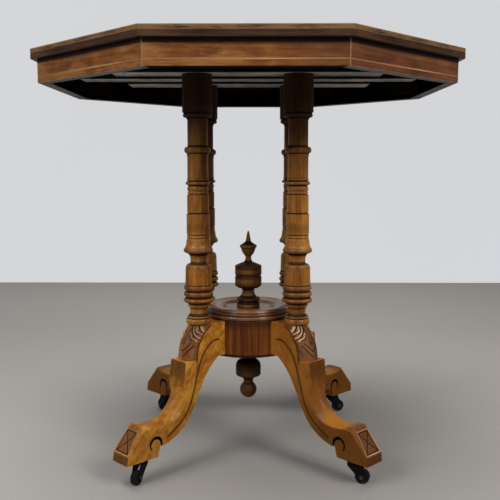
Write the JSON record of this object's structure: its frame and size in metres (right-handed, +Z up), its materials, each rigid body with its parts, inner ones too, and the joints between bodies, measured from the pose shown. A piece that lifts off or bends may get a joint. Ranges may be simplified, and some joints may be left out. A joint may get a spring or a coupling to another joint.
{
  "type": "side table",
  "caption": "Octagonal veneered side table on turned columns, with scrolled legs, a turned finial and pendant, and small swivel castors.",
  "frame": {"origin": "on the floor below the centre of the top, between the four castors", "axes": "+Z up; -Y faces the viewer of the picture, square to a flat side of the top; +X to the right, along the bearers"},
  "size_m": [0.72, 0.72, 0.732],
  "materials": {
    "walnut_apron": "polished figured walnut, orange-brown",
    "walnut_field": "polished walnut veneer",
    "walnut_crossband": "polished walnut crossbanding",
    "boxwood": "fine pale inlaid line",
    "edge_light": "worn light brown edge",
    "edge_dark": "ebonised edge, rubbed",
    "core_pine": "plain sawn softwood",
    "bearer_wood": "bare wood, grey-brown with age",
    "walnut_turned": "satin turned walnut, dark in the hollows",
    "walnut_hub": "satin red-brown wood",
    "walnut_plate": "polished red-brown wood",
    "olive_turned": "satin dark olive-brown turned wood",
    "walnut_leg": "satin honey-gold walnut",
    "steel": "plain wood screws",
    "dark_steel": "dark oxidised steel",
    "black_iron": "black iron",
    "wheel_hard": "hard dark wheel"
  },
  "bodies": {
    "table": {"top_core": "core_pine", "veneer_field": "walnut_field", "veneer_line": "boxwood", "veneer_crossband": "walnut_crossband", "edge_lipping": "edge_light", "edge_moulding": "edge_dark", "apron_front": "walnut_apron", "apron_front_right": "walnut_apron", "apron_right": "walnut_apron", "apron_rear_right": "walnut_apron", "apron_rear": "walnut_apron", "apron_rear_left": "walnut_apron", "apron_left": "walnut_apron", "apron_front_left": "walnut_apron", "apron_stringing": "boxwood", "corner_stringing": "boxwood", "corner_blocks": "core_pine", "block_screws": "steel", "bearer_front": "bearer_wood", "bearer_middle": "bearer_wood", "bearer_rear": "bearer_wood", "bearer_screws": "steel", "column_front_left": "walnut_turned", "column_front_right": "walnut_turned", "column_rear_right": "walnut_turned", "column_rear_left": "walnut_turned", "hub_drum": "walnut_hub", "hub_plate": "walnut_plate", "plate_screws": "dark_steel", "hub_disc": "edge_dark", "disc_screws": "steel", "finial": "olive_turned", "pendant": "olive_turned", "leg_front_left": "walnut_leg", "leg_front_right": "walnut_leg", "leg_rear_right": "walnut_leg", "leg_rear_left": "walnut_leg", "leg_dowels": "core_pine", "castor_plate_front_left": "black_iron", "castor_plate_front_right": "black_iron", "castor_plate_rear_right": "black_iron", "castor_plate_rear_left": "black_iron", "castor_screws": "steel"},
    "swivel_front_left": {"castor_fork_front_left": "black_iron", "castor_axle_front_left": "dark_steel"},
    "wheel_front_left": {"castor_wheel_front_left": "wheel_hard"},
    "swivel_front_right": {"castor_fork_front_right": "black_iron", "castor_axle_front_right": "dark_steel"},
    "wheel_front_right": {"castor_wheel_front_right": "wheel_hard"},
    "swivel_rear_right": {"castor_fork_rear_right": "black_iron", "castor_axle_rear_right": "dark_steel"},
    "wheel_rear_right": {"castor_wheel_rear_right": "wheel_hard"},
    "swivel_rear_left": {"castor_fork_rear_left": "black_iron", "castor_axle_rear_left": "dark_steel"},
    "wheel_rear_left": {"castor_wheel_rear_left": "wheel_hard"}
  },
  "joints": [
    {"name": "swivel_turn_front_left", "type": "hinge", "parent": "table", "child": "swivel_front_left", "pos_m": [-0.18243, -0.18243, 0.0377], "axis": [0, 0, 1], "continuous": true},
    {"name": "wheel_spin_front_left", "type": "hinge", "parent": "swivel_front_left", "child": "wheel_front_left", "pos_m": [-0.18829, -0.19624, 0.0125], "axis": [0.9205, -0.3907, 0], "continuous": true},
    {"name": "swivel_turn_front_right", "type": "hinge", "parent": "table", "child": "swivel_front_right", "pos_m": [0.18243, -0.18243, 0.0377], "axis": [0, 0, 1], "continuous": true},
    {"name": "wheel_spin_front_right", "type": "hinge", "parent": "swivel_front_right", "child": "wheel_front_right", "pos_m": [0.19653, -0.18756, 0.0125], "axis": [0.342, 0.9397, 0], "continuous": true},
    {"name": "swivel_turn_rear_right", "type": "hinge", "parent": "table", "child": "swivel_rear_right", "pos_m": [0.18243, 0.18243, 0.0377], "axis": [0, 0, 1], "continuous": true},
    {"name": "wheel_spin_rear_right", "type": "hinge", "parent": "swivel_rear_right", "child": "wheel_rear_right", "pos_m": [0.19644, 0.18781, 0.0125], "axis": [-0.3584, 0.9336, 0], "continuous": true},
    {"name": "swivel_turn_rear_left", "type": "hinge", "parent": "table", "child": "swivel_rear_left", "pos_m": [-0.18243, 0.18243, 0.0377], "axis": [0, 0, 1], "continuous": true},
    {"name": "wheel_spin_rear_left", "type": "hinge", "parent": "swivel_rear_left", "child": "wheel_rear_left", "pos_m": [-0.19227, 0.19375, 0.0125], "axis": [-0.7547, -0.6561, 0], "continuous": true}
  ]
}
